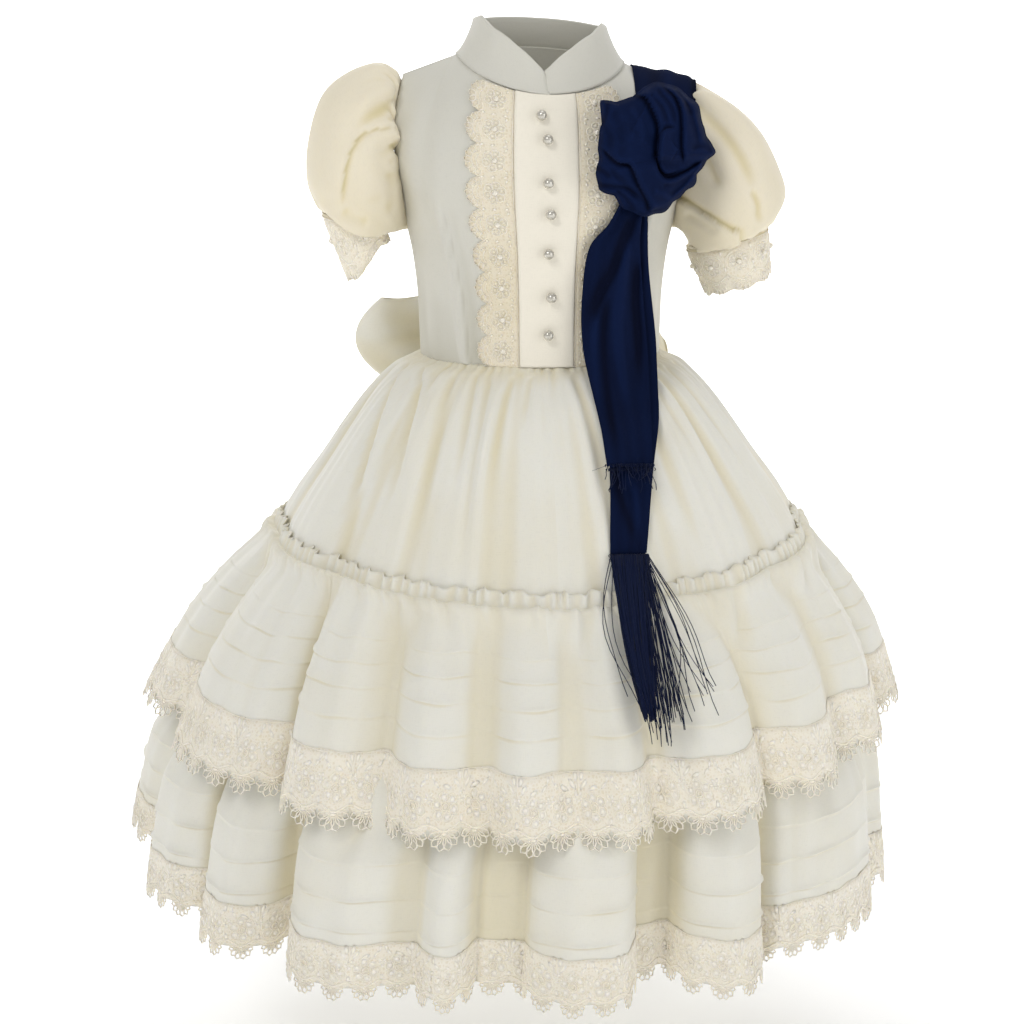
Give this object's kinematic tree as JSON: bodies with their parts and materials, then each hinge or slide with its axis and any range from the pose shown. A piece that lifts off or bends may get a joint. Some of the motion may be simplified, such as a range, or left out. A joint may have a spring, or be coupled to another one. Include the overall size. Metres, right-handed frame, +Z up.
{
  "type": "escaramuza dress",
  "caption": "Child's riding-parade dress with a button front, lace trims, puff sleeves, a full skirt with two tucked flounces and a pinned navy sash with rosette.",
  "frame": {"origin": "middle of the line between the two shoulder seams, where the wearer holds the dress up", "axes": "+Z up, the front of the dress faces -Y, +X is the wearer's left side"},
  "size_m": [0.6956, 0.6586, 0.7895],
  "materials": {
    "ivory_cloth": "matt plain-weave cotton, ivory",
    "bodice_cloth": "matt plain-weave cotton, grey white",
    "sleeve_cloth": "soft matt cotton, warm cream",
    "guipure_lace": "corded cream lace with seed pearls",
    "pearl": "silvery pearl coating",
    "navy_crepe": "matt crepe, navy",
    "navy_fringe": "twisted yarn, navy"
  },
  "bodies": {
    "root": {"bodice_back": "bodice_cloth", "bodice_front_left": "bodice_cloth", "bodice_front_right": "bodice_cloth", "bow_knot": "ivory_cloth", "bow_loop_left": "ivory_cloth", "bow_loop_right": "ivory_cloth", "bow_tail_left": "ivory_cloth", "bow_tail_right": "ivory_cloth", "button_1": "pearl", "button_2": "pearl", "button_3": "pearl", "button_4": "pearl", "button_5": "pearl", "button_6": "pearl", "button_7": "pearl", "collar": "bodice_cloth", "cuff_lace_left": "guipure_lace", "cuff_lace_right": "guipure_lace", "cuff_left": "sleeve_cloth", "cuff_right": "sleeve_cloth", "flounce_heading": "ivory_cloth", "flounce_lower": "ivory_cloth", "flounce_upper": "ivory_cloth", "lace_lower": "guipure_lace", "lace_trim_left": "guipure_lace", "lace_trim_right": "guipure_lace", "lace_upper": "guipure_lace", "placket": "sleeve_cloth", "sash_fall_front": "navy_crepe", "sash_fall_under": "navy_crepe", "sash_fringe_long": "navy_fringe", "sash_fringe_short": "navy_fringe", "sash_rosette": "navy_crepe", "sash_rosette_wrap_1": "navy_crepe", "sash_rosette_wrap_2": "navy_crepe", "sash_rosette_wrap_3": "navy_crepe", "sash_shoulder": "navy_crepe", "skirt": "ivory_cloth", "sleeve_left": "sleeve_cloth", "sleeve_right": "sleeve_cloth"}
  },
  "joints": []
}
